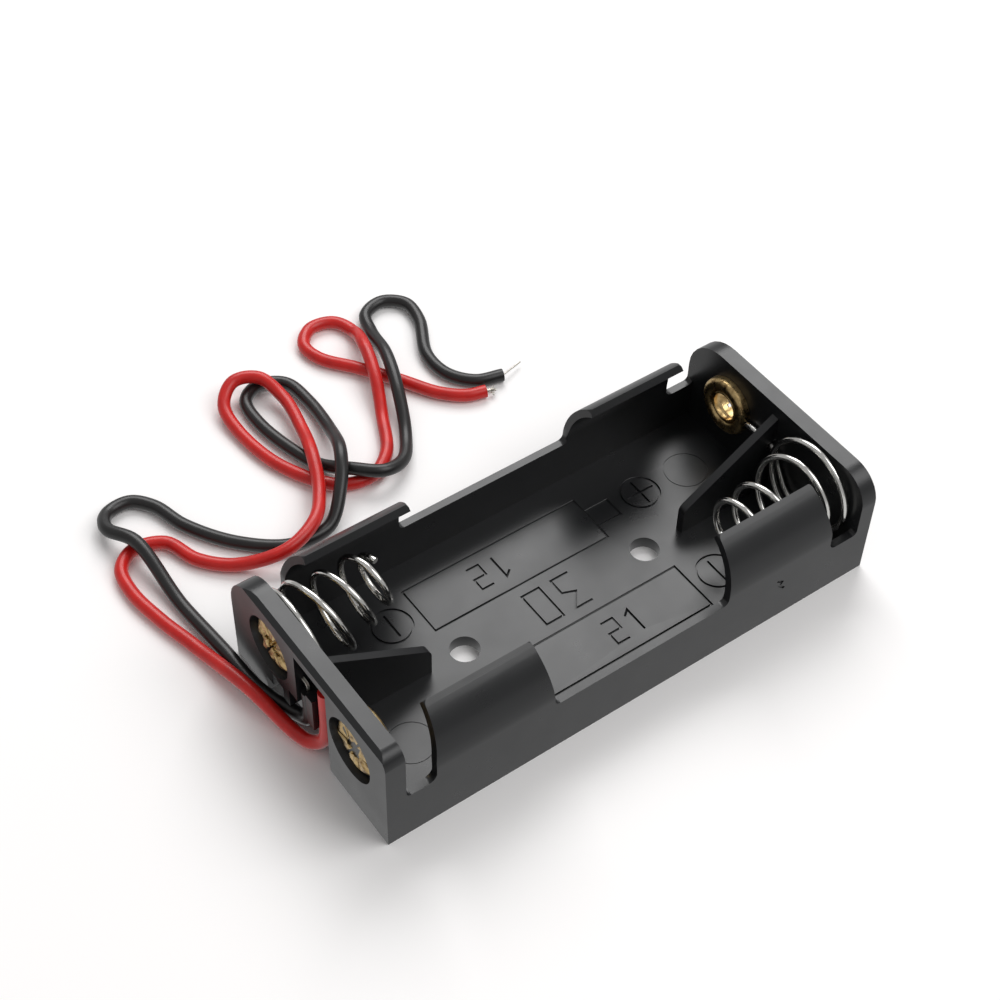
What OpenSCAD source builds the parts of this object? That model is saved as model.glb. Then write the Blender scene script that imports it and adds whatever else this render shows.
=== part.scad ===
// Open holder for two cylindrical cells side by side, with wire leads.
// X runs along the cells (leads at -X), Z is up, and the origin is at the bottom centre of the holder.

/* [Cells] */
// Diameter of a cell
cell_d = 10.5; // [10:0.1:12]
// Length of a cell
cell_len = 44.5; // [42:0.5:52]
// Gap between the two cells
cell_gap = 1.3; // [1:0.1:3]
// Room that each spring takes when a cell is in place
spring_room = 4; // [3:0.25:7]

/* [Moulding] */
// Clearance between a cell and the wall or tab beside it
cell_clear = 0.1; // [0.05:0.05:0.4]
// Height of a cell's underside over the floor
cell_lift = 0.25; // [0:0.05:0.6]
// Thickness of the floor
floor_t = 1.3; // [1:0.1:2]
// Thickness of the side walls and tabs
side_t = 0.75; // [0.6:0.05:1.2]
// Thickness of the end wall on the lead side
near_wall_t = 1.9; // [1.8:0.1:2.6]
// Thickness of the end wall on the bridge side
far_wall_t = 1.6; // [1.5:0.1:2.4]
// Height of the end walls
end_h = 11.7; // [10.5:0.1:12.5]
// Radius of the end walls' top corners
end_corner_r = 3; // [1:0.25:4]
// Radius of the top corner beside the spring's eyelet on the lead side
near_corner_r = 4.25; // [1:0.25:4.5]

/* [Retaining tabs] */
// Angle over which each tab wraps the cell above its axis
tab_wrap = 60; // [45:1:70]
// Half length of the low wall between the tabs
tab_gap_half = 9.3; // [6:0.1:12]
// Width of the notch between a tab and the end wall
notch_w = 3.1; // [2:0.1:5]
// Height of the floor of that notch
notch_h = 5.4; // [3:0.1:6.2]
// Height of the low wall between the tabs
low_wall_h = 6.1; // [3:0.1:6.5]
// How far each end of a tab leans in at its top
tab_lean = 0.8; // [0:0.1:1.5]

/* [Ribs] */
// Thickness of the ribs between the cells
rib_t = 0.8; // [0.6:0.1:1]
// Length of each rib from its end wall
rib_len = 10.3; // [6:0.1:14]
// Height of a rib at its end wall
rib_root_h = 10.4; // [8.5:0.1:11]
// Height of a rib at its free end
rib_tip_h = 4.2; // [2.5:0.1:6]

/* [Screw holes] */
// Distance between the two screw holes
screw_pitch = 20.1; // [14:0.1:24]
// Diameter of a screw hole
screw_d = 2.8; // [2:0.1:3.6]

/* [Contacts] */
// Sideways distance of the contacts from the cells' axes
contact_shift = 0.05; // [0:0.05:0.2]
// Height of the contacts over the cells' axes
contact_lift = 0.25; // [0:0.05:0.4]
// Outer diameter of an eyelet's barrel
barrel_d = 3.7; // [3.4:0.1:3.8]
// Thickness of the eyelets' sheet
sheet_t = 0.28; // [0.2:0.02:0.32]
// Number of petals that an eyelet is split into
petals = 6; // [4:1:8]
// Depth of the recess round the petals
recess_depth = 1; // [0.8:0.05:1.1]
// Diameter of that recess
recess_d = 6.1; // [5.8:0.1:6.3]

/* [Springs] */
// Diameter of the spring wire
wire_d = 0.6; // [0.4:0.05:0.7]
// Distance of the widest coil from the side wall
coil_margin = 0.4; // [0.3:0.05:0.8]
// Free length of the spring at the leads, along its own axis
near_spring_len = 10; // [7:0.1:12]
// Free length of the bridge spring
bridge_spring_len = 10.2; // [7:0.1:12]
// How much the radius of the spring at the leads shrinks to its tip
near_taper = 2.6; // [0:0.1:2.6]
// How much the radius of the bridge spring shrinks to its tip
bridge_taper = 2.3; // [0:0.1:2.3]

/* [Leads] */
// Diameter of a lead over its insulation
lead_d = 1.3; // [1:0.05:1.3]
// Diameter of a lead's stranded conductor
core_d = 0.4; // [0.2:0.05:0.5]
// Width of the lead channel in the end wall
channel_w = 4.3; // [4.3:0.1:4.8]
// Depth of that channel
channel_depth = 1.4; // [1.4:0.05:1.5]
// Height of that channel
channel_h = 10.5; // [9.5:0.1:10.8]

/* [Hidden] */

eps = 0.01;
fit = 0.02;           // gap between two pieces that seat on each other
round_fn = 64;
corner_steps = 8;     // straight steps in a rounded corner
body_color = [0.07, 0.07, 0.075];
brass_color = [0.78, 0.62, 0.33];
spring_color = [0.72, 0.72, 0.72];
red_color = [0.82, 0.12, 0.08];
black_color = [0.05, 0.05, 0.05];
tin_color = [0.75, 0.74, 0.7];

cell_y = (cell_d + cell_gap) / 2;
cell_z = floor_t + cell_lift + cell_d / 2;
bay_r = cell_d / 2 + cell_clear;
tab_r = bay_r + side_t;
half_w = cell_y + tab_r;
body_w = 2 * half_w;
room_len = cell_len + spring_room;
body_len = near_wall_t + room_len + far_wall_t;
x_near = -body_len / 2;
x_near_in = x_near + near_wall_t;
x_far = body_len / 2;
x_far_in = x_far - far_wall_t;
tab_top = cell_z + tab_r * sin(tab_wrap) + eps;
contact_y = cell_y + contact_shift;
contact_z = cell_z + contact_lift;

// ---------- outlines and sweeps ----------

function unit(v) = v / norm(v);

// Arc that rounds the corner b of an outline that runs from a over b to c.
function rounded_corner(a, b, c, r) =
    let (
        u = unit(a - b),
        v = unit(c - b),
        half = acos(u * v) / 2,
        centre = b + unit(u + v) * r / sin(half),
        start = b + u * r / tan(half) - centre,
        sweep = (180 - 2 * half) * sign(cross(b - a, c - b))
    )
    [
        for (i = [0 : corner_steps])
            let (t = sweep * i / corner_steps)
            centre + [start[0] * cos(t) - start[1] * sin(t), start[0] * sin(t) + start[1] * cos(t)]
    ];

function flat(p) = [p[0], p[1]];

// Outline through corners given as [x, y, radius].
function rounded_outline(corners) =
    let (n = len(corners))
    [
        for (i = [0 : n - 1])
            let (
                a = flat(corners[(i + n - 1) % n]),
                b = flat(corners[i]),
                c = flat(corners[(i + 1) % n]),
                r = corners[i][2]
            )
            for (p = r > 0 ? rounded_corner(a, b, c, r) : [b]) p
    ];

// Pushes a Y-Z outline along X.
module along_x(from, length) {
    translate([from, 0, 0])
        rotate([90, 0, 90])
            linear_extrude(height = length)
                children();
}

// Pushes an X-Z outline along Y, evenly about the middle plane.
module along_y(width) {
    rotate([90, 0, 0])
        linear_extrude(height = width, center = true)
            children();
}

function tangent(path, i) = unit(path[min(i + 1, len(path) - 1)] - path[max(i - 1, 0)]);

function square_to(v, t) = unit(v - (v * t) * t);

// Sweeps a round wire along a list of points. The vector up sets where its first ring starts.
module wire(path, d, sides, up) {
    last = len(path) - 1;
    ups = [
        for (i = 0, u = square_to(up, tangent(path, 0));
             i <= last;
             i = i + 1, u = i <= last ? square_to(u, tangent(path, i)) : u)
        u
    ];
    ring_points = [
        for (i = [0 : last])
            let (side = cross(tangent(path, i), ups[i]))
            for (k = [0 : sides - 1])
                path[i] + d / 2 * (ups[i] * cos(360 * k / sides) + side * sin(360 * k / sides))
    ];
    side_faces = [
        for (i = [0 : last - 1], k = [0 : sides - 1])
            let (
                a = i * sides + k,
                a_next = i * sides + (k + 1) % sides,
                b = a + sides,
                b_next = a_next + sides
            )
            for (f = [[a, b, b_next], [a, b_next, a_next]]) f
    ];
    start_face = [for (k = [0 : sides - 1]) k];
    end_face = [for (k = [sides - 1 : -1 : 0]) last * sides + k];
    polyhedron(points = ring_points, faces = concat(side_faces, [start_face, end_face]), convexity = 6);
}

// ---------- body ----------

tab_foot_r = 0.8;     // fillet where a tab's outer end meets the notch
foot_r = 0.5;         // fillet where an end wall meets the notch
low_wall_r = 0.6;     // fillet where a tab's inner end meets the low wall
tab_tip_r = 0.4;      // rounding of a tab's upper corners
lean_from_z = cell_z + 0.8;
tab_end = room_len / 2 - notch_w;

// Half section of the floor, a side wall and its tab, seen along the cells.
module half_section() {
    translate([-eps, 0])
        square([half_w + eps, floor_t]);
    translate([half_w - side_t, 0])
        square([side_t, cell_z]);
    translate([cell_y, cell_z])
        intersection() {
            difference() {
                circle(r = tab_r, $fn = round_fn);
                circle(r = bay_r, $fn = round_fn);
            }
            polygon([
                [0, 0],
                [2 * tab_r, -eps],
                [2 * tab_r, 2 * tab_r * tan(tab_wrap / 2)],
                [2 * tab_r * cos(tab_wrap), 2 * tab_r * sin(tab_wrap)]
            ]);
        }
}

module trough_section() {
    half_section();
    mirror([1, 0])
        half_section();
}

// One half of the side walls' outline, from the low wall to the end wall, as [x, z, radius].
half_side = [
    [tab_gap_half, low_wall_h, low_wall_r],
    [tab_gap_half + 0.1, lean_from_z, 0],
    [tab_gap_half + tab_lean * 0.75, tab_top, tab_tip_r],
    [tab_end - tab_lean, tab_top, tab_tip_r],
    [tab_end, lean_from_z, 0],
    [tab_end, notch_h, tab_foot_r]
];

module side_outline() {
    left = [for (p = half_side) [-p[0], p[1], p[2]]];
    right = [for (i = [len(half_side) - 1 : -1 : 0]) half_side[i]];
    polygon(rounded_outline(concat(
        [[x_near, 0, 0], [x_far, 0, 0], [x_far, notch_h + foot_r, 0]],
        [[x_far_in, notch_h + foot_r, 0], [x_far_in, notch_h, foot_r]],
        right,
        left,
        [[x_near_in, notch_h, foot_r], [x_near_in, notch_h + foot_r, 0]],
        [[x_near, notch_h + foot_r, 0]]
    )));
}

// Outline of an end wall. The corner at +Y has a radius of its own.
module end_outline(plus_r) {
    polygon(rounded_outline([
        [-half_w, 0, 0],
        [half_w, 0, 0],
        [half_w, end_h, plus_r],
        [-half_w, end_h, end_corner_r]
    ]));
}

edge_cut = 0.45;      // chamfer along the top of the end wall at the leads

module near_wall() {
    intersection() {
        along_x(x_near, near_wall_t)
            end_outline(near_corner_r);
        along_y(body_w + 1)
            polygon([
                [x_near - eps, -eps],
                [x_near_in + eps, -eps],
                [x_near_in + eps, end_h + eps],
                [x_near + edge_cut, end_h + eps],
                [x_near - eps, end_h - edge_cut]
            ]);
    }
}

rib_tip_r = 1;        // rounding of a rib's free upper corner
rib_bury = 0.2;       // length of a rib inside its wall, and depth in the floor

// A rib beside its end wall at the origin, towards +X.
module rib_outline() {
    polygon(rounded_outline([
        [-rib_bury, floor_t - rib_bury, 0],
        [rib_len, floor_t - rib_bury, 0],
        [rib_len, rib_tip_h, rib_tip_r],
        [0, rib_root_h, 0],
        [-rib_bury, rib_root_h, 0]
    ]));
}

link_slot = wire_d + 0.3;

module ribs() {
    translate([x_near_in, 0, 0])
        along_y(rib_t)
            rib_outline();
    difference() {
        translate([x_far_in, 0, 0])
            mirror([1, 0, 0])
                along_y(rib_t)
                    rib_outline();
        // slot beside the end wall for the bridge wire
        translate([x_far_in - link_slot, -rib_t, contact_z - link_slot / 2])
            cube([link_slot, 2 * rib_t, link_slot]);
    }
}

channel_wall = 0.2;   // web between the lead channel and the recess of the positive eyelet
channel_y0 = recess_d / 2 - contact_y + channel_wall;
channel_y1 = channel_y0 + channel_w;
step_y = channel_y0 + 5.7;        // step beside the channel, over the turn of the leads
step_h = 4.4;
pocket_y0 = step_y + 1;           // pocket beyond the tooth that is left beside the step
pocket_y1 = pocket_y0 + 1.7;
pocket_h = 3.5;
foot_y = channel_y0 + 9.55;       // low cut through which the leads pass under the tooth
foot_h = 2.1;
divider_y = channel_y0 + 1.8;     // post that keeps the two leads apart
divider_w = 1;
divider_z0 = 3.1;
divider_z1 = 7;
laid_x_near = -26;    // where the end wall and the channel stand for the lead routes below
laid_channel_y0 = -2.7;
lay_shift = [x_near - laid_x_near, channel_y0 - laid_channel_y0, 0];
lead_x = x_near + 0.73;
red_fold_z = 9.5;     // height at which the red lead's conductor folds over

// Cut of the channel's depth from y0 to y1, up to height h.
module channel_cut(y0, y1, h) {
    translate([x_near - eps, y0, -eps])
        cube([channel_depth + eps, y1 - y0, h + eps]);
}

// Narrow hole for a conductor between two points [y, z] of the leads' plane.
module passage(from, to) {
    way = concat([0], to - from);
    multmatrix([
        [1, 0, 0, lead_x],
        [0, way[2] / norm(way), way[1] / norm(way), from[0]],
        [0, -way[1] / norm(way), way[2] / norm(way), from[1]]
    ])
        cylinder(d = core_d + 0.1, h = norm(way), $fn = round_fn);
}

module lead_channel() {
    difference() {
        union() {
            channel_cut(channel_y0, channel_y1, channel_h);
            channel_cut(channel_y1 - eps, step_y, step_h);
            channel_cut(step_y - eps, foot_y, foot_h);
            channel_cut(pocket_y0, pocket_y1, pocket_h);
        }
        translate([x_near - 1, divider_y, divider_z0])
            cube([channel_depth + 2, divider_w, divider_z1 - divider_z0]);
    }
    passage([channel_y1 - 1, contact_z], [contact_y, contact_z]);
    passage([channel_y0 + 0.36, red_fold_z + 0.15], [channel_y0 - 1.2, red_fold_z - 0.76]);
}

// Recess for the petals and hole for the barrel, in an outer face at x that faces dir.
module eyelet_seat(x, dir, y, wall) {
    translate([x, y, contact_z])
        rotate([0, 90 * dir, 0]) {
            translate([0, 0, -recess_depth])
                cylinder(d = recess_d, h = recess_depth + eps, $fn = round_fn);
            translate([0, 0, -wall - eps])
                cylinder(d = barrel_d + 0.1, h = wall + 2 * eps, $fn = round_fn);
        }
}

nib_len = 1.8;        // hooked nib beside the end wall at the leads
nib_h = 1.2;

module corner_nib() {
    translate([0, half_w - side_t / 2, 0])
        along_y(side_t)
            polygon([
                [x_near_in - eps, notch_h - eps],
                [x_near_in + nib_len * 0.7, notch_h - eps],
                [x_near_in + nib_len, notch_h + nib_h * 0.7],
                [x_near_in + nib_len * 0.8, notch_h + nib_h],
                [x_near_in - eps, notch_h + nib_h * 0.8]
            ]);
}

module body() {
    color(body_color)
        difference() {
            union() {
                intersection() {
                    along_x(x_near + eps, body_len - 2 * eps)
                        trough_section();
                    along_y(body_w + 1)
                        side_outline();
                }
                near_wall();
                along_x(x_far_in, far_wall_t)
                    end_outline(end_corner_r);
                ribs();
                corner_nib();
            }
            for (x = [-screw_pitch / 2, screw_pitch / 2])
                translate([x, 0, -eps])
                    cylinder(d = screw_d, h = floor_t + 2 * eps, $fn = round_fn);
            lead_channel();
            eyelet_seat(x_near, -1, contact_y, near_wall_t);
            eyelet_seat(x_near, -1, -contact_y, near_wall_t);
            eyelet_seat(x_far, 1, contact_y, far_wall_t);
        }
}

// ---------- eyelets ----------

barrel_r = barrel_d / 2;
bore_r = barrel_r - sheet_t;
wall_gap = wire_d / 2 + fit;
ring_step = 20;       // degrees between two rings of a coil
loop_r = barrel_r + wire_d / 2 + 0.2;
// inside of the roll in which the flange covers the wire's loop
roll_r0 = loop_r * cos(ring_step / 2) - wall_gap;
roll_r1 = loop_r + wall_gap;
roll_h = 2 * wall_gap + fit;
flange_r = roll_r1 + sheet_t;
mouth_r = bore_r - 0.2;
mouth_h = 0.75;       // how far the mouth stands off the wall
lip_t = 0.24;         // thickness of the mouth's lip
groove_h = 0.3;       // how far the groove between mouth and roll stands off the wall
petal_r = recess_d / 2 - 0.45;
crown_h = 0.62;       // height of the petals' crown
slot_w = 0.35;

// Section of an eyelet as [radius, height] with the petals' feet at height 0.
// The flange's edge is at the height of base.
function eyelet_section(base) =
    rounded_outline([
        [bore_r, base + 0.15, 0.05],
        [mouth_r, base - groove_h, 0.1],
        [mouth_r, base - mouth_h, 0.1],
        [mouth_r + lip_t, base - mouth_h, 0.1],
        [mouth_r + lip_t, base - groove_h, 0],
        [roll_r0 - sheet_t, base - groove_h, 0],
        [roll_r0 - sheet_t, base - roll_h - sheet_t, 0.45],
        [flange_r - 0.05, base - roll_h - sheet_t, 0.5],
        [flange_r, base, 0],
        [roll_r1, base, 0],
        [roll_r1, base - roll_h, 0.1],
        [roll_r0, base - roll_h, 0.1],
        [roll_r0, base, 0],
        [barrel_r, base, 0],
        [barrel_r, crown_h - sheet_t - 0.1, 0],
        [barrel_r + 0.1, crown_h - sheet_t, 0],
        [petal_r - sheet_t - 0.15, crown_h - sheet_t, 0],
        [petal_r - sheet_t, crown_h - sheet_t - 0.15, 0],
        [petal_r - sheet_t, 0, 0],
        [petal_r, 0, 0],
        [petal_r, crown_h / 2, 0],
        [petal_r - 0.35, crown_h, 0.1],
        [barrel_r, crown_h, 0.1],
        [bore_r, crown_h / 2, 0]
    ]);

// An eyelet through the wall whose outer face is at x and faces dir.
module eyelet(x, dir, y, wall) {
    translate([x - dir * (recess_depth - fit), y, contact_z])
        rotate([0, 90 * dir, 0])
            difference() {
                rotate_extrude($fn = round_fn)
                    polygon(eyelet_section(recess_depth - wall - 2 * fit));
                for (k = [0 : petals - 1])
                    rotate([0, 0, 360 * (k + 0.5) / petals])
                        translate([bore_r / 2, -slot_w / 2, eps])
                            cube([petal_r, slot_w, crown_h]);
            }
}

// Way out for the wire through the side of a flange's roll, from height z0 to z1
// and from distance y0 to y1 beside the eyelet's axis.
module wire_exit(x, z0, z1, y0, y1) {
    translate([x - wall_gap, contact_y + y0, contact_z + z0])
        cube([2 * wall_gap, y1 - y0, z1 - z0]);
}

module negative_eyelet() {
    color(brass_color)
        difference() {
            eyelet(x_near, -1, contact_y, near_wall_t);
            wire_exit(x_near_in + wall_gap, -flange_r - eps, -1.2 * wire_d, -flange_r - eps, -roll_r0 + wire_d / 2);
        }
}

module positive_eyelet() {
    color(brass_color)
        eyelet(x_near, -1, -contact_y, near_wall_t);
}

module bridge_eyelet() {
    color(brass_color)
        difference() {
            eyelet(x_far, 1, contact_y, far_wall_t);
            wire_exit(x_far_in - wall_gap, -1.2 * wire_d, 0.6 * wire_d, -flange_r - eps, -roll_r0 + eps);
        }
}

// ---------- springs ----------

wire_sides = 8;
coil_r = cell_y + bay_r - contact_y - wire_d / 2 - coil_margin;
loop_turn = 300;      // degrees of wire round a barrel
spread_turn = 160;    // degrees in which the wire widens from there to the first coil
near_lift = 7.5;      // angle by which the spring at the leads leans up
near_swing = 6;       // angle by which it leans away from the other cell
near_shift = [0, -0.3, -0.15];    // where its coils start from the contact's axis

// How far a spring has risen and narrowed at each number of turns from its wall.
near_turns = 4.25;
near_rise = [[0.3, 0], [1.25, 0.29], [2.25, 0.58], [3.25, 0.88], [4.25, 1]];
near_narrowing = [[0, 0], [1, 0.17], [2, 0.5], [3, 0.64], [4.25, 1]];
near_lean = [[0.3, 0], [1.2, 1]];
near_spread = [[-1, 0], [-0.875, 0.3], [-0.75, 0.55], [-0.5, 0.8], [0, 1]];
bridge_turns = 4.25;
bridge_rise = [[0.25, 0], [0.75, 0.04], [1.75, 0.23], [2.75, 0.63], [3.75, 0.92], [4.25, 1]];
bridge_narrowing = [[0.75, 0], [1.75, 0.3], [2.75, 0.8], [3.75, 0.93], [4.25, 1]];

function travel(free_len) = free_len - wall_gap - wire_d / 2;

// A point on a spring round the axis at y, at angle a, with radius r and rise h over the wall at x.
function coil_point(x, y, a, r, h) = [x + h, y + r * cos(a), contact_z + r * sin(a)];

function axis(lift, swing) = [cos(lift) * cos(swing), cos(lift) * sin(swing), sin(lift)];

// The same on the leaning spring at the leads.
function leaning_point(a, r, h, lean) =
    let (
        side = axis(0, near_swing * lean + 90),
        high = cross(axis(near_lift * lean, near_swing * lean), side)
    )
    [x_near_in + wall_gap, contact_y, contact_z] + near_shift
        + h * axis(near_lift, near_swing)
        + r * (side * cos(a) + high * sin(a));

// From a loop round the eyelet out to the wall and up the coils.
module negative_spring() {
    round_barrel = [
        for (a = [-loop_turn - spread_turn : ring_step : -spread_turn])
            coil_point(x_near_in, contact_y, a, loop_r, wall_gap)
    ];
    spread = [
        for (a = [ring_step - spread_turn : ring_step : 0])
            let (
                part = lookup(a / spread_turn, near_spread),
                r = loop_r + (coil_r - loop_r) * part
            )
            coil_point(x_near_in, contact_y, a, r, wall_gap) + part * near_shift
    ];
    coils = [
        for (a = [ring_step : ring_step : 360 * near_turns])
            let (
                r = coil_r - near_taper * lookup(a / 360, near_narrowing),
                h = travel(near_spring_len) * lookup(a / 360, near_rise)
            )
            leaning_point(a, r, h, lookup(a / 360, near_lean))
    ];
    color(spring_color)
        wire(concat(round_barrel, spread, coils), wire_d, wire_sides, [1, 0, 0]);
}

link_turn = 20;       // angle before the top of the last rise where the coil becomes the link

// From the tip down the coils to the wall, through the rib and round the bridge eyelet.
module bridge_spring() {
    link_x = x_far_in - wall_gap;
    coils = [
        for (a = [360 * bridge_turns : -ring_step : link_turn])
            let (
                r = coil_r - bridge_taper * lookup(a / 360, bridge_narrowing),
                h = wall_gap + travel(bridge_spring_len) * lookup(a / 360, bridge_rise)
            )
            coil_point(x_far_in, -contact_y, -a, r, -h)
    ];
    turn_y = coil_r - contact_y;
    link = [
        [link_x, turn_y, contact_z - 0.8],
        [link_x, turn_y + 0.2, contact_z - 0.25],
        [link_x, turn_y + 0.65, contact_z],
        [link_x, contact_y - loop_r - 0.7, contact_z],
        [link_x, contact_y - loop_r - 0.2, contact_z - 0.2]
    ];
    round_barrel = [
        for (a = [200 : ring_step : 200 + loop_turn])
            coil_point(link_x, contact_y, a, loop_r, 0)
    ];
    color(spring_color)
        wire(concat(coils, link, round_barrel), wire_d, wire_sides, [1, 0, 0]);
}

// ---------- leads ----------

lead_sides = 8;

// Middle line of the red lead, from its end in the channel to its free end.
red_route = [
    [-25.27, -2, 9.2], [-25.27, -1.8, 3.7], [-25.45, -1.4, 1.9], [-26.3, 0, 0.8],
    [-27.8, 7, 1.7], [-28.95, 13.7, 0.65], [-30.1, 18.4, 0.65], [-30.7, 22.6, 0.65],
    [-30.2, 25.6, 0.65], [-28.2, 27, 0.65], [-25.4, 26.1, 0.65], [-24, 22.7, 0.65],
    [-21.4, 20, 0.8], [-17.2, 18.1, 1.9], [-13.4, 19.4, 2.2], [-11, 22.4, 1.9],
    [-9.2, 26.4, 2.2], [-7.8, 30.8, 1.4], [-7.1, 35.6, 1.4], [-8, 38.4, 2.1],
    [-10.3, 39.4, 2], [-12.3, 37.9, 1.2], [-12.7, 34, 0.65], [-11.6, 28, 0.65],
    [-8.4, 23.1, 0.65], [-5.2, 22.3, 0.65], [-2.5, 24, 0.65], [-0.3, 28, 0.65],
    [1.8, 32.6, 2], [3.1, 36.6, 2.1], [4, 40, 0.65], [3, 42.3, 0.65],
    [0.6, 42.8, 0.65], [-1.2, 41.1, 0.65], [-0.9, 38.6, 0.65], [1.5, 35.3, 0.65],
    [4.1, 31.4, 0.65], [6.2, 27.9, 0.65], [8.3, 26, 0.65], [10.2, 25.4, 0.65]
];
// Middle line of the black lead.
black_route = [
    [-25.27, 0.8, 6.2], [-25.27, 0.8, 3.7], [-25.3, 1.2, 1.9], [-25.45, 2.7, 0.8],
    [-26.8, 7, 0.65], [-27.2, 12.4, 0.65], [-27.75, 19, 0.7], [-28, 26.6, 2.1],
    [-29.3, 29.8, 1.6], [-28.2, 32.1, 0.8], [-25.8, 32.4, 0.65], [-24.1, 30.6, 0.65],
    [-22.9, 26.9, 0.65], [-20, 22.4, 0.65], [-16, 19.3, 0.65], [-12, 19.2, 0.7],
    [-9.2, 21.5, 2.3], [-7.2, 24.6, 3.2], [-5.6, 29.2, 1.4], [-5, 34.4, 0.65],
    [-5.6, 37.6, 0.65], [-7.9, 38.8, 0.65], [-10, 37.7, 0.65], [-10.5, 34, 0.65],
    [-8.95, 27, 0.65], [-6.7, 22.9, 2], [-4.6, 21.2, 2], [-2, 21.9, 1.2],
    [0.4, 25, 0.65], [2.6, 29.8, 2], [4.2, 34.2, 2.1], [5.4, 38.8, 0.8],
    [6.4, 41.4, 0.65], [8.8, 42.1, 0.65], [10.7, 40.5, 0.65], [10.5, 37.7, 0.65],
    [8.3, 33, 0.65], [8.4, 29.6, 0.65], [10.2, 27.2, 0.65], [12.9, 26.3, 0.65]
];

// Where the red lead's conductor folds over and down to its eyelet, as [y, z].
red_fold = [
    [-2, red_fold_z - 0.15], [-2.2, red_fold_z], [-2.6, red_fold_z], [-3.9, 8.74]
];
red_bare_len = 1;     // bare conductor at the free ends
black_bare_len = 2.7;

function laid(route) = [for (p = route) p + lay_shift];

module lead(route) {
    wire(laid(route), lead_d, lead_sides, [1, 0, 0]);
}

module core(path) {
    wire(laid(path), core_d, lead_sides, [1, 0, 0]);
}

// Bare end of a conductor, straight on from the last two points of a lead's route.
module bare_end(route, length) {
    last = len(route) - 1;
    from = route[last];
    to = from + length * unit(from - route[last - 1]);
    wire(laid([from, to]), core_d, lead_sides, [0, 0, 1]);
}

module red_lead() {
    color(red_color)
        lead(red_route);
}

module black_lead() {
    color(black_color)
        lead(black_route);
}

// Each conductor shows at the free end of its lead and where it turns aside to its eyelet.
module red_conductor() {
    top = red_route[0];
    color(tin_color) {
        bare_end(red_route, red_bare_len);
        core(concat([top], [for (p = red_fold) [top[0], p[0], p[1]]]));
    }
}

module black_conductor() {
    top = black_route[0];
    color(tin_color) {
        bare_end(black_route, black_bare_len);
        core([
            top,
            [top[0], top[1], contact_z - 0.25],
            [top[0], top[1] + 0.25, contact_z],
            [top[0], contact_y - petal_r - fit, contact_z]
        ]);
    }
}

// ---------- what is drawn ----------

body();
negative_eyelet();
positive_eyelet();
bridge_eyelet();
negative_spring();
bridge_spring();
red_lead();
black_lead();
red_conductor();
black_conductor();
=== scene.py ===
import math
import random
import time

import bmesh
import bpy
from mathutils import Matrix, Vector
from mathutils.noise import noise_vector


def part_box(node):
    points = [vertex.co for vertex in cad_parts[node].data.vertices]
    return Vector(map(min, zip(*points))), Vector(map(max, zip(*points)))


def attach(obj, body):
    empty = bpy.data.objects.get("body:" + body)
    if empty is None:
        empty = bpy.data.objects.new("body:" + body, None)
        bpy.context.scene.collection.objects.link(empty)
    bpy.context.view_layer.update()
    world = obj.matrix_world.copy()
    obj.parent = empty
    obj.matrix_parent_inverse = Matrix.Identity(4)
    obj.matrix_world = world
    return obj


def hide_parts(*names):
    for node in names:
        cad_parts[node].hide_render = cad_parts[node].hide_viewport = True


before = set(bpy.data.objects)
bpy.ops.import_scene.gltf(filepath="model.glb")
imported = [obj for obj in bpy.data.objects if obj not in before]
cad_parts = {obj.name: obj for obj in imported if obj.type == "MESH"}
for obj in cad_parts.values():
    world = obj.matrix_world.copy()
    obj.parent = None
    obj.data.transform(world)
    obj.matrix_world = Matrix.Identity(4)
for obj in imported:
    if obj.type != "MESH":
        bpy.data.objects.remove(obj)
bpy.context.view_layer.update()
MM = 0.001
ROOT = "root"

# ---------------------------------------------------------------- camera


def make_camera():
    azimuth, elevation, roll = math.radians(-36.86), math.radians(48.53), math.radians(1.72)
    target, distance = Vector((3.32, 13.35, 0)) * MM, 181.85 * MM
    back = Vector((
        math.sin(azimuth) * math.cos(elevation),
        -math.cos(azimuth) * math.cos(elevation),
        math.sin(elevation),
    ))
    right = Vector((0, 0, 1)).cross(back).normalized()
    up = back.cross(right)
    level, tilted = Matrix((right, up, back)).transposed(), Matrix.Rotation(roll, 3, "Z")
    data = bpy.data.cameras.new("camera")
    data.sensor_width = 36
    data.lens = 69.24
    data.clip_start, data.clip_end = 0.01, 20
    cam = bpy.data.objects.new("camera", data)
    cam.matrix_world = Matrix.Translation(target + back * distance) @ (level @ tilted).to_4x4()
    bpy.context.scene.collection.objects.link(cam)
    bpy.context.scene.camera = cam


make_camera()

# ---------------------------------------------------------------- cords

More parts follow.
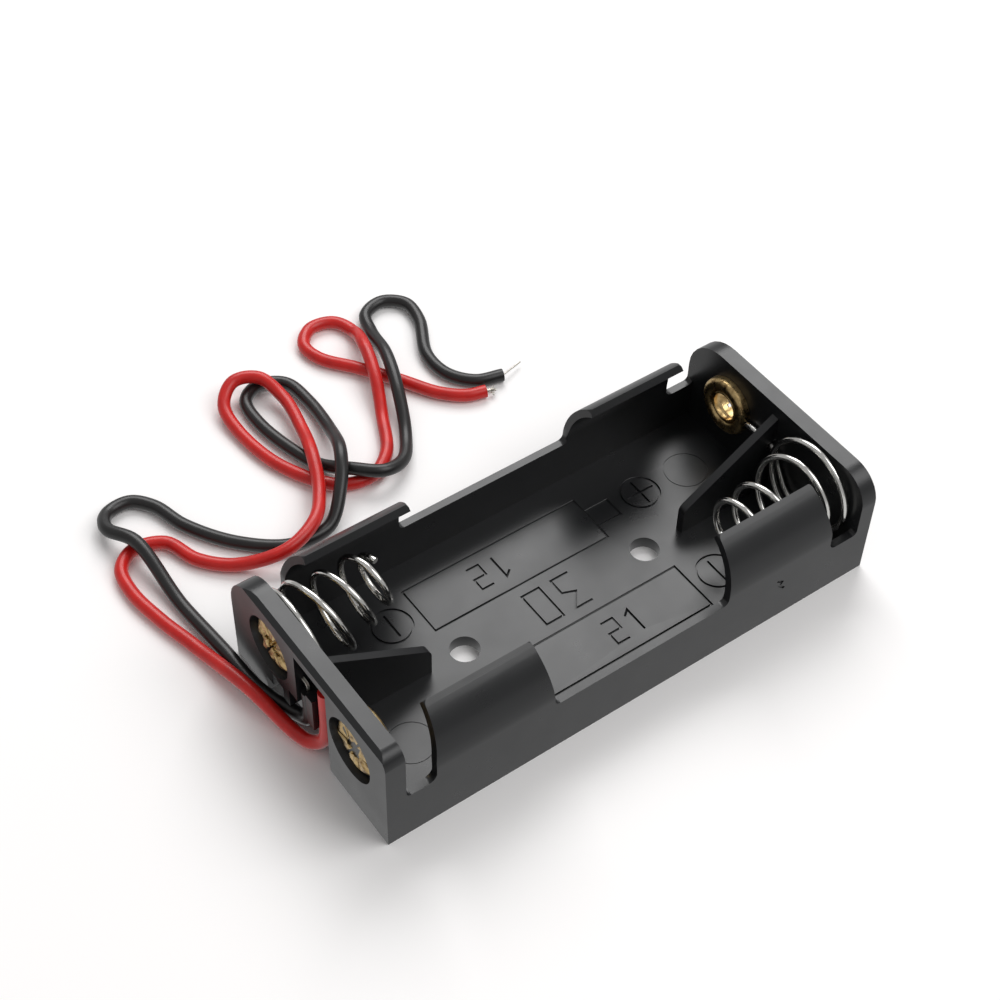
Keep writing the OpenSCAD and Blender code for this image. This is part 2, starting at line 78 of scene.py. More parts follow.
LEAD_D = 1.3 * MM
RED_ROUTE = [
    (-25.27, -2, 9.2), (-25.27, -1.8, 3.7), (-25.45, -1.4, 1.9), (-26.3, 0, 0.8),
    (-27.8, 7, 1.7), (-28.95, 13.7, 0.65), (-30.1, 18.4, 0.65), (-30.7, 22.6, 0.65),
    (-30.2, 25.6, 0.65), (-28.2, 27, 0.65), (-25.4, 26.1, 0.65), (-24, 22.7, 0.65),
    (-21.4, 20, 0.8), (-17.2, 18.1, 1.9), (-13.4, 19.4, 2.2), (-11, 22.4, 1.9),
    (-9.2, 26.4, 2.2), (-7.8, 30.8, 1.4), (-7.1, 35.6, 1.4), (-8, 38.4, 2.1),
    (-10.3, 39.4, 2), (-12.3, 37.9, 1.2), (-12.7, 34, 0.65), (-11.6, 28, 0.65),
    (-8.4, 23.1, 0.65), (-5.2, 22.3, 0.65), (-2.5, 24, 0.65), (-0.3, 28, 0.65),
    (1.8, 32.6, 2), (3.1, 36.6, 2.1), (4, 40, 0.65), (3, 42.3, 0.65),
    (0.6, 42.8, 0.65), (-1.2, 41.1, 0.65), (-0.9, 38.6, 0.65), (1.5, 35.3, 0.65),
    (4.1, 31.4, 0.65), (6.2, 27.9, 0.65), (8.3, 26, 0.65), (10.2, 25.4, 0.65),
]
BLACK_ROUTE = [
    (-25.27, 0.8, 6.2), (-25.27, 0.8, 3.7), (-25.3, 1.2, 1.9), (-25.45, 2.7, 0.8),
    (-26.8, 7, 0.65), (-27.2, 12.4, 0.65), (-27.75, 19, 0.7), (-28, 26.6, 2.1),
    (-29.3, 29.8, 1.6), (-28.2, 32.1, 0.8), (-25.8, 32.4, 0.65), (-24.1, 30.6, 0.65),
    (-22.9, 26.9, 0.65), (-20, 22.4, 0.65), (-16, 19.3, 0.65), (-12, 19.2, 0.7),
    (-9.2, 21.5, 2.3), (-7.2, 24.6, 3.2), (-5.6, 29.2, 1.4), (-5, 34.4, 0.65),
    (-5.6, 37.6, 0.65), (-7.9, 38.8, 0.65), (-10, 37.7, 0.65), (-10.5, 34, 0.65),
    (-8.95, 27, 0.65), (-6.7, 22.9, 2), (-4.6, 21.2, 2), (-2, 21.9, 1.2),
    (0.4, 25, 0.65), (2.6, 29.8, 2), (4.2, 34.2, 2.1), (5.4, 38.8, 0.8),
    (6.4, 41.4, 0.65), (8.8, 42.1, 0.65), (10.7, 40.5, 0.65), (10.5, 37.7, 0.65),
    (8.3, 33, 0.65), (8.4, 29.6, 0.65), (10.2, 27.2, 0.65), (12.9, 26.3, 0.65),
]


def smooth_line(points, steps):
    """Centripetal Catmull-Rom curve through the points, which never dips under the lowest of its two ends."""
    pts = [Vector(p) for p in points]
    pts = [2 * pts[0] - pts[1], *pts, 2 * pts[-1] - pts[-2]]
    out = []
    for i in range(len(pts) - 3):
        a, b, c, d = pts[i:i + 4]
        t0 = 0.0
        t1 = t0 + math.sqrt((b - a).length)
        t2 = t1 + math.sqrt((c - b).length)
        t3 = t2 + math.sqrt((d - c).length)
        for k in range(steps):
            t = t1 + (t2 - t1) * k / steps
            ab = a * ((t1 - t) / (t1 - t0)) + b * ((t - t0) / (t1 - t0))
            bc = b * ((t2 - t) / (t2 - t1)) + c * ((t - t1) / (t2 - t1))
            cd = c * ((t3 - t) / (t3 - t2)) + d * ((t - t2) / (t3 - t2))
            abc = ab * ((t2 - t) / (t2 - t0)) + bc * ((t - t0) / (t2 - t0))
            bcd = bc * ((t3 - t) / (t3 - t1)) + cd * ((t - t1) / (t3 - t1))
            p = abc * ((t2 - t) / (t2 - t1)) + bcd * ((t - t1) / (t2 - t1))
            p.z = max(p.z, min(b.z, c.z))
            out.append(p)
    out.append(pts[-2].copy())
    return out


def tube(name, lines, radius, resolution=4, caps=True):
    """One mesh of round tubes along lines of points in millimetres."""
    data = bpy.data.curves.new(name, "CURVE")
    data.dimensions = "3D"
    data.bevel_depth = radius
    data.bevel_resolution = resolution
    data.use_fill_caps = caps
    for line in lines:
        spline = data.splines.new("POLY")
        spline.points.add(len(line) - 1)
        for point, p in zip(spline.points, line):
            point.co = (*(Vector(p) * MM), 1)
        spline.use_smooth = True
    curve = bpy.data.objects.new(name + "_curve", data)
    bpy.context.scene.collection.objects.link(curve)
    swept = curve.evaluated_get(bpy.context.evaluated_depsgraph_get())
    mesh = bpy.data.meshes.new_from_object(swept)
    bpy.data.objects.remove(curve)
    obj = bpy.data.objects.new(name, mesh)
    bpy.context.scene.collection.objects.link(obj)
    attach(obj, ROOT)
    return obj


def line_length(line):
    return sum((q - p).length for p, q in zip(line, line[1:])) * MM


red_line = smooth_line(RED_ROUTE, 8)
black_line = smooth_line(BLACK_ROUTE, 8)
red = tube("red_insulation", [red_line], LEAD_D / 2)
black = tube("black_insulation", [black_line], LEAD_D / 2)
print("LEAD LENGTHS", line_length(red_line), line_length(black_line))
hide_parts("red_lead")
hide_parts("black_lead")

STRAND_R = 0.06 * MM
BLACK_TIP = (15.6, 27, 0.5)
RED_TIP = (11.1, 25.1, 0.55)
RED_FOLD = [(-25.27, -2, 9.2), (-25.27, -2, 9.35), (-25.27, -2.2, 9.5), (-25.27, -2.6, 9.5), (-25.27, -4.6, 8.65)]
BLACK_FOLD = [(-25.27, 0.8, 6.2), (-25.27, 0.8, 6.8), (-25.27, 1.05, 7.05), (-25.27, 3.33, 7.05)]
dice = random.Random(5)


def strands(start, end, count, spread, fray):
    """Fine strands that leave a lead's end side by side and part towards their tips."""
    start, end = Vector(start), Vector(end)
    lines = []
    for _ in range(count):
        offset = Vector([dice.uniform(-1, 1) for _ in range(3)]) * spread
        away = Vector([dice.uniform(-1, 1) for _ in range(3)]) * fray
        tip = start.lerp(end, dice.uniform(0.75, 1)) + offset + away
        tip.z = max(tip.z, 0.1)
        lines.append(smooth_line([start + offset, start.lerp(end, 0.5) + offset + away * 0.3, tip], 6))
    return lines


red_wire = tube("red_strands", [
    *strands(RED_ROUTE[-1], RED_TIP, 9, 0.14, 0.22), *strands(RED_ROUTE[-1], RED_TIP, 3, 0.1, 0.4),
    *([Vector(p) + Vector((dx, 0, dz)) for p in RED_FOLD] for dx, dz in ((0, 0), (0.1, 0.05), (-0.1, 0.04), (0, -0.1))),
], STRAND_R, 2)
black_wire = tube("black_strands", [
    *strands(BLACK_ROUTE[-1], BLACK_TIP, 7, 0.07, 0.03),
    *([Vector(p) + Vector((dx, 0, dz)) for p in BLACK_FOLD] for dx, dz in ((0, 0), (0.1, 0.05), (-0.1, 0.04))),
], STRAND_R, 2)
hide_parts("red_conductor")
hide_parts("black_conductor")

# ---------------------------------------------------------------- solids for the moulding

# The moulding is worked on in millimetres and put back in metres at the end.
body_lo, body_hi = (Vector(corner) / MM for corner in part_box("body"))
NEAR_X, FAR_X = body_lo.x, body_hi.x
HALF_W = body_hi.y
FLOOR_T = 1.3
END_H = 11.7
NEAR_WALL_T, FAR_WALL_T = 1.9, 1.6
EDGE_CUT = 0.45           # chamfer along the top of the near wall
CONTACT = Vector((5.95, 7.05))        # Y and Z of the contacts
RECESS_R, RECESS_DEPTH, HOLE_R = 3.05, 1.0, 1.9
POSITIVE_SHIFT = -0.65    # the positive contact sits this far nearer to its side wall
CHANNEL_EDGE, CHANNEL_SHIFT, CHANNEL_DEPTH, CHANNEL_H = -2.7, -0.5, 1.4, 10.5


def circle(centre, radius, count=64):
    turn = 2 * math.pi / count
    return [
        (centre[0] + radius * math.cos(k * turn), centre[1] + radius * math.sin(k * turn))
        for k in range(count)
    ]


def add_prism(bm, outline, low, high, axis):
    """A closed prism over an outline, which runs anticlockwise as seen from the axis's far end."""
    place = {
        "X": lambda p, h: (h, p[0], p[1]),
        "Z": lambda p, h: (p[0], p[1], h),
    }[axis]
    bottom = [bm.verts.new(place(p, low)) for p in outline]
    top = [bm.verts.new(place(p, high)) for p in outline]
    bm.faces.new(reversed(bottom))
    bm.faces.new(top)
    count = len(outline)
    for i in range(count):
        j = (i + 1) % count
        bm.faces.new((bottom[i], bottom[j], top[j], top[i]))


def level(p, h):
    return p.x, p.y, h


def upright(p, h):
    return p.x, h, p.y


def add_groove(bm, points, width, low, high, closed=False, place=level):
    """A closed bar of even width along a line of points in a plane."""
    pts = [Vector(p) for p in points]
    count = len(pts)
    rings = []
    for i, p in enumerate(pts):
        before = pts[i - 1] if closed or i > 0 else p - (pts[1] - p)
        after = pts[(i + 1) % count] if closed or i < count - 1 else p + (p - pts[i - 1])
        a, b = (p - before).normalized(), (after - p).normalized()
        along = (a + b).normalized()
        side = Vector((-along.y, along.x)) * width / 2 / max(along.dot(b), 0.4)
        rings.append([
            bm.verts.new(place(p + side * s, h)) for s, h in ((1, low), (-1, low), (-1, high), (1, high))
        ])
    spans = count if closed else count - 1
    for i in range(spans):
        a, b = rings[i], rings[(i + 1) % count]
        for k in range(4):
            bm.faces.new((a[k], b[k], b[(k + 1) % 4], a[(k + 1) % 4]))
    if not closed:
        bm.faces.new(rings[0])
        bm.faces.new(reversed(rings[-1]))


def solid(name, build):
    """A mesh object made by a function that fills a bmesh."""
    bm = bmesh.new()
    build(bm)
    bmesh.ops.recalc_face_normals(bm, faces=bm.faces)
    mesh = bpy.data.meshes.new(name)
    bm.to_mesh(mesh)
    bm.free()
    obj = bpy.data.objects.new(name, mesh)
    bpy.context.scene.collection.objects.link(obj)
    return obj


def bake_modifiers(obj):
    """Puts the result of an object's modifiers into its mesh."""
    depsgraph = bpy.context.evaluated_depsgraph_get()
    depsgraph.update()
    mesh = bpy.data.meshes.new_from_object(obj.evaluated_get(depsgraph))
    obj.modifiers.clear()
    old = obj.data
    obj.data = mesh
    bpy.data.meshes.remove(old)


def combine(obj, operation, build):
    """Joins a solid to the object or cuts it away."""
    tool = solid("tool", build)
    change = obj.modifiers.new("change", "BOOLEAN")
    change.operation = operation
    change.solver = "MANIFOLD"
    change.object = tool
    bake_modifiers(obj)
    data = tool.data
    bpy.data.objects.remove(tool)
    bpy.data.meshes.remove(data)


def reshape_corner(mesh, side, inner, old_r, new_r):
    """Gives the top corner of an end wall another radius, along with its chamfer at the near wall."""
    edge_z = END_H - EDGE_CUT
    old_edge = math.asin((edge_z - END_H + old_r) / old_r)
    new_edge = math.asin(min(1, (edge_z - END_H + new_r) / new_r))
    near = inner < 0
    for v in mesh.vertices:
        beside, over = side * v.co.y - (HALF_W - old_r), v.co.z - (END_H - old_r)
        behind = v.co.x > inner + 0.01 if near else v.co.x < inner - 0.01
        if behind or beside < -0.01 or over < -0.01:
            continue
        turn = math.atan2(over, beside)
        if turn <= old_edge:
            turn *= new_edge / old_edge
        else:
            turn = math.pi / 2 - (math.pi / 2 - turn) * (math.pi / 2 - new_edge) / (math.pi / 2 - old_edge)
        v.co.y = side * (HALF_W - new_r + new_r * math.cos(turn))
        v.co.z = END_H - new_r + new_r * math.sin(turn)
        if near:
            v.co.x = max(v.co.x, NEAR_X + v.co.z - edge_z)


def fill(bm):
    """A plug in the seat of the positive contact, which is cut again where it belongs."""
    plug = circle((-CONTACT.x, CONTACT.y), RECESS_R + 0.01)
    add_prism(bm, plug, NEAR_X, NEAR_X + NEAR_WALL_T, "X")


def cut(bm):
    """The seat of the positive contact and the wider edge of the lead channel."""
    centre = (-CONTACT.x + POSITIVE_SHIFT, CONTACT.y)
    add_prism(bm, circle(centre, RECESS_R), NEAR_X - 1, NEAR_X + RECESS_DEPTH, "X")
    add_prism(bm, circle(centre, HOLE_R), NEAR_X + RECESS_DEPTH - 0.5, NEAR_X + NEAR_WALL_T + 0.5, "X")
    edge = CHANNEL_EDGE + CHANNEL_SHIFT
    strip = [(edge, -1), (CHANNEL_EDGE + 0.1, -1), (CHANNEL_EDGE + 0.1, CHANNEL_H), (edge, CHANNEL_H)]
    add_prism(bm, strip, NEAR_X - 1, NEAR_X + CHANNEL_DEPTH, "X")


# Middle lines of the marks in the floor of the back bay; the front bay has them turned half round.
GROOVE_W, GROOVE_DEPTH = 0.22, 0.18
BAY_X, BAY_Y = (-11.03, 8.22), (3.15, 8.48)
STUB = (2.7, 4.65, 6.8)           # length and sides of the cell outline's raised end
SIGN_R = 1.89
MINUS_PLACE, PLUS_PLACE = Vector((-13.89, 5.74)), Vector((14.05, 5.74))
EJECTOR_PLACE, EJECTOR_R = Vector((19.38, 5.52)), 2.11
NICK = [(15.1, 5.2), (15.75, 4.75), (15.45, 4.35), (16.1, 3.7)]       # knock in the front wall
DIGITS = {
    "0": ([(0, 0), (1, 0), (1, 2), (0, 2)], True),
    "1": ([(0.1, 1.6), (0.6, 2), (0.6, 0)], False),
    "2": ([(0, 2), (1, 2), (1, 1), (0, 1), (0, 0), (1, 0)], False),
    "3": ([(0, 2), (1, 2), (0.35, 1.15), (1, 0.9), (1, 0), (0, 0)], False),
}


def half_turn(points):
    return [-Vector(p) for p in points]


def bay_marks(bm, turn, number):
    """A cell's outline and signs in one bay."""
    low, high = FLOOR_T - GROOVE_DEPTH, FLOOR_T + 0.05
    (x0, x1), (y0, y1) = BAY_X, BAY_Y
    reach, stub_y0, stub_y1 = STUB
    box = [(x0, y0), (x1, y0), (x1, y1), (x0, y1)]
    add_groove(bm, turn(box), GROOVE_W, low, high, closed=True)
    foot = x1 + GROOVE_W / 2 + 0.01
    stub = [(foot, stub_y0), (x1 + reach, stub_y0), (x1 + reach, stub_y1), (foot, stub_y1)]
    add_groove(bm, turn(stub), GROOVE_W, low, high)
    for place in (MINUS_PLACE, PLUS_PLACE):
        add_groove(bm, turn(circle(place, SIGN_R, 48)), GROOVE_W, low, high, closed=True)
    bar = Vector((0, 1.35))
    add_groove(bm, turn([MINUS_PLACE - bar, MINUS_PLACE + bar]), GROOVE_W, low, high)
    a, b = GROOVE_W / 2, 1.5
    quarter = [Vector((a, a)), Vector((a, b)), Vector((-a, b))]
    cross = [Matrix.Rotation(k * math.pi / 2, 2) @ p for k in range(4) for p in quarter]
    add_prism(bm, turn([PLUS_PLACE + p for p in cross]), low, high, "Z")
    add_number(bm, turn, number, Vector((-1.4, 7.2)), 1.3)


def add_number(bm, turn, number, place, size):
    """Digits that read along -X, with their tops towards -Y."""
    low, high = FLOOR_T - GROOVE_DEPTH, FLOOR_T + 0.05
    for i, digit in enumerate(number):
        strokes, closed = DIGITS[digit]
        points = [place - Vector((p[0] * size + i * 1.7 * size, p[1] * size)) for p in strokes]
        add_groove(bm, turn(points), GROOVE_W, low, high, closed=closed)


def marks(bm):
    bay_marks(bm, list, "12")
    bay_marks(bm, half_turn, "21")
    add_number(bm, list, "30", Vector((2.6, 1.9)), 1.9)
    shallow = FLOOR_T - 0.05
    for place in (EJECTOR_PLACE, -EJECTOR_PLACE):
        add_groove(bm, circle(place, EJECTOR_R, 48), 0.1, shallow, FLOOR_T + 0.05, closed=True)
    add_groove(bm, NICK, 0.25, -HALF_W - 0.1, -HALF_W + 0.12, place=upright)


def weld(mesh):
    bm = bmesh.new()
    bm.from_mesh(mesh)
    bmesh.ops.remove_doubles(bm, verts=bm.verts, dist=0.0005)
    bmesh.ops.recalc_face_normals(bm, faces=bm.faces)
    bm.to_mesh(mesh)
    bm.free()


def in_groove(face):
    """Whether a face is a side or the bottom of a mark in the floor."""
    heights = [v.co.z for v in face.verts]
    return min(heights) > FLOOR_T - GROOVE_DEPTH - 0.01 and min(heights) < FLOOR_T - 0.01 and max(heights) < FLOOR_T + 0.01


def inside_mark(face):
    """Whether a face is part of the small level islands inside the marks of the floor."""
    at_floor = abs(face.center.z / MM - FLOOR_T) < 0.02 and abs(face.normal.z) > 0.999
    return at_floor and face.area < 12 * MM * MM


def soften(mesh):
    """Rounds every sharp edge a little, as moulding does, but for those of the marks."""
    bm = bmesh.new()
    bm.from_mesh(mesh)
    bmesh.ops.remove_doubles(bm, verts=bm.verts, dist=0.002)
    bmesh.ops.dissolve_limit(bm, angle_limit=math.radians(0.6), verts=bm.verts, edges=bm.edges)
    sharp = [
        e for e in bm.edges
        if len(e.link_faces) == 2 and e.calc_face_angle() > math.radians(28)
        and not any(in_groove(f) for f in e.link_faces)
    ]
    bmesh.ops.bevel(bm, geom=sharp, offset=0.07, offset_type="OFFSET", segments=2, profile=0.5,
                    affect="EDGES", clamp_overlap=True, miter_outer="ARC")
    bm.to_mesh(mesh)
    bm.free()


def moulding():
    """The body with softened edges and with the marks of its mould."""
    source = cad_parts["body"]
    obj = bpy.data.objects.new("moulding", source.data.copy())
    bpy.context.scene.collection.objects.link(obj)
    obj.data.transform(Matrix.Scale(1 / MM, 4))
    weld(obj.data)
    reshape_corner(obj.data, -1, NEAR_X + NEAR_WALL_T, 3, 1.4)
    reshape_corner(obj.data, 1, FAR_X - FAR_WALL_T, 3, 4.2)
    combine(obj, "UNION", fill)
    combine(obj, "DIFFERENCE", cut)
    combine(obj, "DIFFERENCE", marks)
    soften(obj.data)
    obj.data.transform(Matrix.Scale(MM, 4))
    obj.data.shade_smooth()
    obj.data.set_sharp_from_angle(angle=math.radians(35))
    for face in obj.data.polygons:
        if inside_mark(face):
            face.use_smooth = False
    even = obj.modifiers.new("even", "WEIGHTED_NORMAL")
    even.keep_sharp = True
    even.weight = 100
    bake_modifiers(obj)
    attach(obj, ROOT)
    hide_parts("body")
    return obj


# ---------------------------------------------------------------- eyelets

BORE_R, CROWN_H = 1.57, 0.62


def crumpled_eyelet(node, side, shift, seed):
    """An eyelet at the near wall whose petals are bent unevenly, as the riveting tool leaves them."""
    obj = bpy.data.objects.new(node + "_brass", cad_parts[node].data.copy())
    bpy.context.scene.collection.objects.link(obj)
    obj.data.transform(Matrix.Scale(1 / MM, 4))
    weld(obj.data)
    bm = bmesh.new()
    bm.from_mesh(obj.data)
    foot = NEAR_X + RECESS_DEPTH
    petals = [e for e in bm.edges if max(v.co.x for v in e.verts) < foot - 0.02 and e.calc_length() > 0.25]
    bmesh.ops.subdivide_edges(bm, edges=petals, cuts=1, use_grid_fill=True)
    middle = Vector((side * CONTACT.x, CONTACT.y))
    for v in bm.verts:
        height = foot - v.co.x
        if height > 0.05:
            away = Vector((v.co.y, v.co.z)) - middle
            bend = noise_vector(Vector((*away, height)) * 1.7 + Vector((seed, 0, 0)))
            inwards = 1.15 * min(height / CROWN_H, 1) * max(0, 1 - (away.length - BORE_R) / 0.9)
            radius = max(away.length - inwards * (1 + 0.5 * bend.z) + 0.15 * bend.x, 0.15)
            away *= radius / away.length
            v.co = (v.co.x - 0.22 * bend.y, *(middle + away))
        v.co.y += shift
    bm.to_mesh(obj.data)
    bm.free()
    obj.data.transform(Matrix.Scale(MM, 4))
    obj.data.shade_smooth()
    obj.data.set_sharp_from_angle(angle=math.radians(40))
    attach(obj, ROOT)
    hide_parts(node)
    return obj


negative_brass = crumpled_eyelet("negative_eyelet", 1, 0, 3.1)
positive_brass = crumpled_eyelet("positive_eyelet", -1, POSITIVE_SHIFT, 8.4)

# ---------------------------------------------------------------- springs

WIRE_D, FIT = 0.6, 0.02
WALL_GAP = WIRE_D / 2 + FIT
LOOP_R, COIL_R = 2.35, 4.6
TURNS = 4.25
STEP = 5                  # degrees between two points of a coil
NEAR_IN, FAR_IN = NEAR_X + NEAR_WALL_T, FAR_X - FAR_WALL_T
LOOP_TURN, SPREAD_TURN, LINK_TURN = 300, 160, 20
NEAR_LIFT, NEAR_SWING, NEAR_SHIFT = math.radians(7.5), math.radians(6), Vector((0, -0.3, -0.15))
NEAR_TRAVEL, NEAR_TAPER = 10 - WALL_GAP - WIRE_D / 2, 2.6
BRIDGE_TRAVEL, BRIDGE_TAPER = 10.2 - WALL_GAP - WIRE_D / 2, 2.3
NEAR_RISE = [(0.3, 0), (1.25, 0.29), (2.25, 0.58), (3.25, 0.88), (4.25, 1)]
NEAR_NARROWING = [(0, 0), (1, 0.17), (2, 0.5), (3, 0.64), (4.25, 1)]
NEAR_LEAN = [(0.3, 0), (1.2, 1)]
NEAR_SPREAD = [(-1, 0), (-0.875, 0.3), (-0.75, 0.55), (-0.5, 0.8), (0, 1)]
BRIDGE_RISE = [(0.25, 0), (0.75, 0.04), (1.75, 0.23), (2.75, 0.63), (3.75, 0.92), (4.25, 1)]
BRIDGE_NARROWING = [(0.75, 0), (1.75, 0.3), (2.75, 0.8), (3.75, 0.93), (4.25, 1)]


def lookup(x, table):
    """The value at x in a table of (place, value), even with the table's ends beyond them."""
    if x <= table[0][0]:
        return table[0][1]
    for (x0, y0), (x1, y1) in zip(table, table[1:]):
        if x <= x1:
            return y0 + (y1 - y0) * (x - x0) / (x1 - x0)
    return table[-1][1]


def round_contact(x, y, degrees, radius):
    a = math.radians(degrees)
    return Vector((x, y + radius * math.cos(a), CONTACT.y + radius * math.sin(a)))


def axis(lift, swing):
    return Vector((
        math.cos(lift) * math.cos(swing),
        math.cos(lift) * math.sin(swing),
        math.sin(lift),
    ))


def near_spring_line():
    """The wire from its loop round the near eyelet out to the wall and up the leaning coils."""
    x, y = NEAR_IN + WALL_GAP, CONTACT.x
    line = [round_contact(x, y, a, LOOP_R) for a in range(-LOOP_TURN - SPREAD_TURN, -SPREAD_TURN + 1, STEP)]
    for a in range(STEP - SPREAD_TURN, 1, STEP):
        part = lookup(a / SPREAD_TURN, NEAR_SPREAD)
        line.append(round_contact(x, y, a, LOOP_R + (COIL_R - LOOP_R) * part) + part * NEAR_SHIFT)
    foot = Vector((x, y, CONTACT.y)) + NEAR_SHIFT
    for a in range(STEP, int(360 * TURNS) + 1, STEP):
        turn = a / 360
        lean = lookup(turn, NEAR_LEAN)
        side = axis(0, NEAR_SWING * lean + math.pi / 2)
        high = axis(NEAR_LIFT * lean, NEAR_SWING * lean).cross(side)
        r = COIL_R - NEAR_TAPER * lookup(turn, NEAR_NARROWING)
        h = NEAR_TRAVEL * lookup(turn, NEAR_RISE)
        across = side * math.cos(math.radians(a)) + high * math.sin(math.radians(a))
        line.append(foot + h * axis(NEAR_LIFT, NEAR_SWING) + r * across)
    return line


def bridge_spring_line():
    """The wire from the spring's tip down its coils, along the far wall and round the bridge eyelet."""
    x = FAR_IN - WALL_GAP
    line = []
    for a in range(int(360 * TURNS), LINK_TURN - 1, -STEP):
        r = COIL_R - BRIDGE_TAPER * lookup(a / 360, BRIDGE_NARROWING)
        h = BRIDGE_TRAVEL * lookup(a / 360, BRIDGE_RISE)
        line.append(round_contact(x - h, -CONTACT.x, -a, r))
    loop = [round_contact(x, CONTACT.x, a, LOOP_R) for a in range(200, 200 + LOOP_TURN + 1, STEP)]
    turn_y = COIL_R - CONTACT.x
    link = [
        Vector((x, y, CONTACT.y + z)) for y, z in (
            (turn_y, -0.8), (turn_y + 0.2, -0.25), (turn_y + 0.65, 0),
            (CONTACT.x - LOOP_R - 0.7, 0), (CONTACT.x - LOOP_R - 0.2, -0.2),
        )
    ]
    bend = smooth_line([line[-6], line[-1], *link, loop[0], loop[5]], 6)
    return [*line[:-6], *bend, *loop[6:]]


near_spring = tube("near_spring_wire", [near_spring_line()], WIRE_D / 2 * MM, 5)
bridge_spring = tube("bridge_spring_wire", [bridge_spring_line()], WIRE_D / 2 * MM, 5)
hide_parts("negative_spring")
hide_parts("bridge_spring")

# ---------------------------------------------------------------- materials


def material(name, color, roughness, metallic=0.0, **sockets):
    """A Principled material, returned with its node tree and shader."""
    mat = bpy.data.materials.new(name)
    mat.use_nodes = True
    tree = mat.node_tree
    shader = tree.nodes["Principled BSDF"]
    shader.inputs["Base Color"].default_value = (*color, 1)
    shader.inputs["Roughness"].default_value = roughness
    shader.inputs["Metallic"].default_value = metallic
    for key, value in sockets.items():
        shader.inputs[key.replace("_", " ")].default_value = value
    return mat, tree, shader


def noise(tree, scale, detail=3.0, stretch=(1, 1, 1)):
    """Noise in object space, in cells per metre."""
    coords = tree.nodes.new("ShaderNodeTexCoord")
    mapping = tree.nodes.new("ShaderNodeMapping")
    mapping.inputs["Scale"].default_value = stretch
    texture = tree.nodes.new("ShaderNodeTexNoise")
    texture.inputs["Scale"].default_value = scale
    texture.inputs["Detail"].default_value = detail
    tree.links.new(coords.outputs["Object"], mapping.inputs["Vector"])
    tree.links.new(mapping.outputs["Vector"], texture.inputs["Vector"])
    return texture.outputs["Fac"]


def ramp(tree, factor, stops):
    node = tree.nodes.new("ShaderNodeValToRGB")
    elements = node.color_ramp.elements
    while len(elements) < len(stops):
        elements.new(0.5)
    for element, (place, color) in zip(elements, stops):
        element.position = place
        element.color = (*color, 1) if len(color) == 3 else (color[0], color[0], color[0], 1)
    tree.links.new(factor, node.inputs["Fac"])
    return node.outputs["Color"]


def bump(tree, shader, height, distance, strength=1.0):
    node = tree.nodes.new("ShaderNodeBump")
    node.inputs["Distance"].default_value = distance
    node.inputs["Strength"].default_value = strength
    tree.links.new(height, node.inputs["Height"])
    tree.links.new(node.outputs["Normal"], shader.inputs["Normal"])


def moulded_plastic():
    mat, tree, shader = material("moulded_black", (0.011, 0.0115, 0.0125), 0.3)
    grey = noise(tree, 350, 5)
    tree.links.new(ramp(tree, grey, [(0.3, (0.27,)), (0.7, (0.33,))]), shader.inputs["Roughness"])
    bump(tree, shader, noise(tree, 4000, 2), 0.000006, 0.3)
    return mat


def brass():
    mat, tree, shader = material("eyelet_brass", (0.72, 0.55, 0.28), 0.3, 1.0)
    stains = [(0.32, (0.2, 0.12, 0.05)), (0.46, (0.55, 0.39, 0.18)), (0.62, (0.68, 0.5, 0.24))]
    tree.links.new(ramp(tree, noise(tree, 1300, 4), stains), shader.inputs["Base Color"])
    tree.links.new(ramp(tree, noise(tree, 2500, 2), [(0.3, (0.24,)), (0.7, (0.42,))]), shader.inputs["Roughness"])
    bump(tree, shader, noise(tree, 2600, 3), 0.00004, 0.7)
    return mat


def spring_wire():
    mat, tree, shader = material("spring_steel", (0.78, 0.77, 0.74), 0.16, 1.0)
    tree.links.new(ramp(tree, noise(tree, 4000, 3), [(0.35, (0.08,)), (0.7, (0.26,))]), shader.inputs["Roughness"])
    return mat


def insulation(name, color, dark):
    mat, tree, shader = material(name, color, 0.36)
    tree.links.new(ramp(tree, noise(tree, 700, 3), [(0.3, dark), (0.7, color)]), shader.inputs["Base Color"])
    bump(tree, shader, noise(tree, 6000, 2), 0.00001, 0.3)
    return mat


def tinned():
    mat, tree, shader = material("tinned_copper", (0.55, 0.52, 0.47), 0.3, 1.0)
    return mat


plastic = moulded_plastic()
brass_mat = brass()
spring_mat = spring_wire()
red_mat = insulation("red_insulation", (0.62, 0.012, 0.008), (0.5, 0.008, 0.006))
black_mat = insulation("black_insulation", (0.014, 0.013, 0.013), (0.01, 0.009, 0.009))
tin_mat = tinned()


def dress(obj, mat):
    obj.data.materials.clear()
    obj.data.materials.append(mat)


dress(red, red_mat)
dress(black, black_mat)
for wire in (red_wire, black_wire):
    dress(wire, tin_mat)
for eyelet in (negative_brass, positive_brass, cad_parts["bridge_eyelet"]):
    dress(eyelet, brass_mat)
dress(near_spring, spring_mat)
dress(bridge_spring, spring_mat)
started = time.time()
body = moulding()
dress(body, plastic)
print("BODY SECONDS", time.time() - started, len(body.data.polygons))

# ---------------------------------------------------------------- floor and light


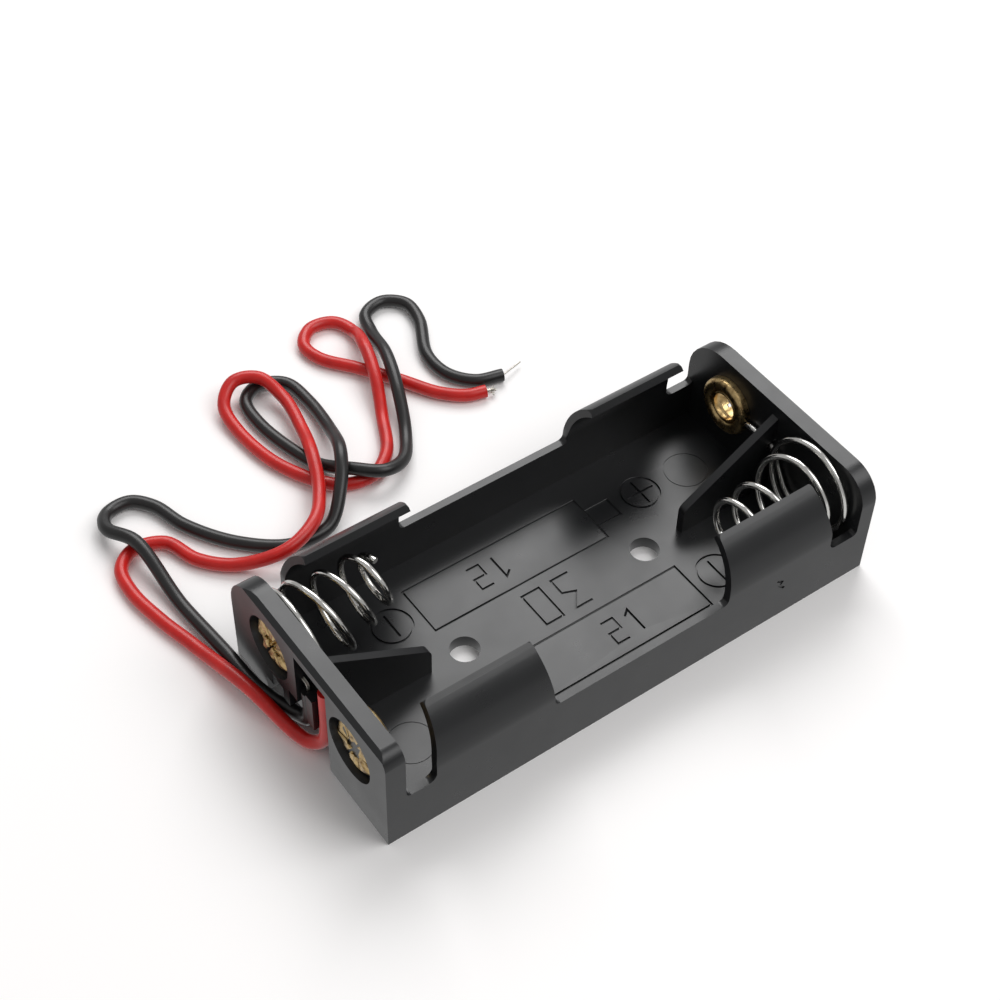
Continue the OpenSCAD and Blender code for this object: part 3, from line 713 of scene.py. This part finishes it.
def make_floor():
    mesh = bpy.data.meshes.new("floor")
    half = 1.5
    mesh.from_pydata([(-half, -half, 0), (half, -half, 0), (half, half, 0), (-half, half, 0)], [], [(0, 1, 2, 3)])
    obj = bpy.data.objects.new("floor", mesh)
    bpy.context.scene.collection.objects.link(obj)
    mat = bpy.data.materials.new("floor")
    mat.use_nodes = True
    tree = mat.node_tree
    tree.nodes.clear()
    out = tree.nodes.new("ShaderNodeOutputMaterial")
    paint = tree.nodes.new("ShaderNodeBsdfDiffuse")
    paint.inputs["Color"].default_value = (1, 0.985, 0.98, 1)
    glow = tree.nodes.new("ShaderNodeEmission")
    glow.inputs["Color"].default_value = (1, 1, 1, 1)
    glow.inputs["Strength"].default_value = 0.65
    path = tree.nodes.new("ShaderNodeLightPath")
    either = tree.nodes.new("ShaderNodeMath")
    either.operation = "MAXIMUM"
    mix = tree.nodes.new("ShaderNodeMixShader")
    tree.links.new(path.outputs["Is Glossy Ray"], either.inputs[0])
    tree.links.new(path.outputs["Is Transmission Ray"], either.inputs[1])
    tree.links.new(either.outputs[0], mix.inputs["Fac"])
    tree.links.new(paint.outputs[0], mix.inputs[1])
    tree.links.new(glow.outputs[0], mix.inputs[2])
    tree.links.new(mix.outputs[0], out.inputs["Surface"])
    mesh.materials.append(mat)


def make_world():
    world = bpy.data.worlds.new("world")
    bpy.context.scene.world = world
    world.use_nodes = True
    tree = world.node_tree
    tree.nodes.clear()
    out = tree.nodes.new("ShaderNodeOutputWorld")
    light = tree.nodes.new("ShaderNodeBackground")
    light.inputs["Color"].default_value = (1, 1, 1, 1)
    light.inputs["Strength"].default_value = 0.4
    white = tree.nodes.new("ShaderNodeBackground")
    white.inputs["Color"].default_value = (1, 1, 1, 1)
    path = tree.nodes.new("ShaderNodeLightPath")
    mix = tree.nodes.new("ShaderNodeMixShader")
    tree.links.new(path.outputs["Is Camera Ray"], mix.inputs["Fac"])
    tree.links.new(light.outputs[0], mix.inputs[1])
    tree.links.new(white.outputs[0], mix.inputs[2])
    tree.links.new(mix.outputs[0], out.inputs["Surface"])


def area_light(name, place, target, size, power):
    data = bpy.data.lights.new(name, "AREA")
    data.shape = "RECTANGLE"
    data.size, data.size_y = size
    data.energy = power
    obj = bpy.data.objects.new(name, data)
    obj.location = place
    obj.rotation_mode = "QUATERNION"
    obj.rotation_quaternion = (Vector(target) - Vector(place)).to_track_quat("-Z", "Y")
    bpy.context.scene.collection.objects.link(obj)


make_floor()
make_world()
area_light("back_box", (0.27, 0.4, 0.5), (0, 0.01, 0), (0.5, 0.4), 3.0)
area_light("front_box", (0.3, -0.28, 0.55), (0, 0.01, 0), (0.45, 0.45), 1.8)

bpy.context.scene.view_settings.view_transform = "Standard"

bpy.context.view_layer.update()
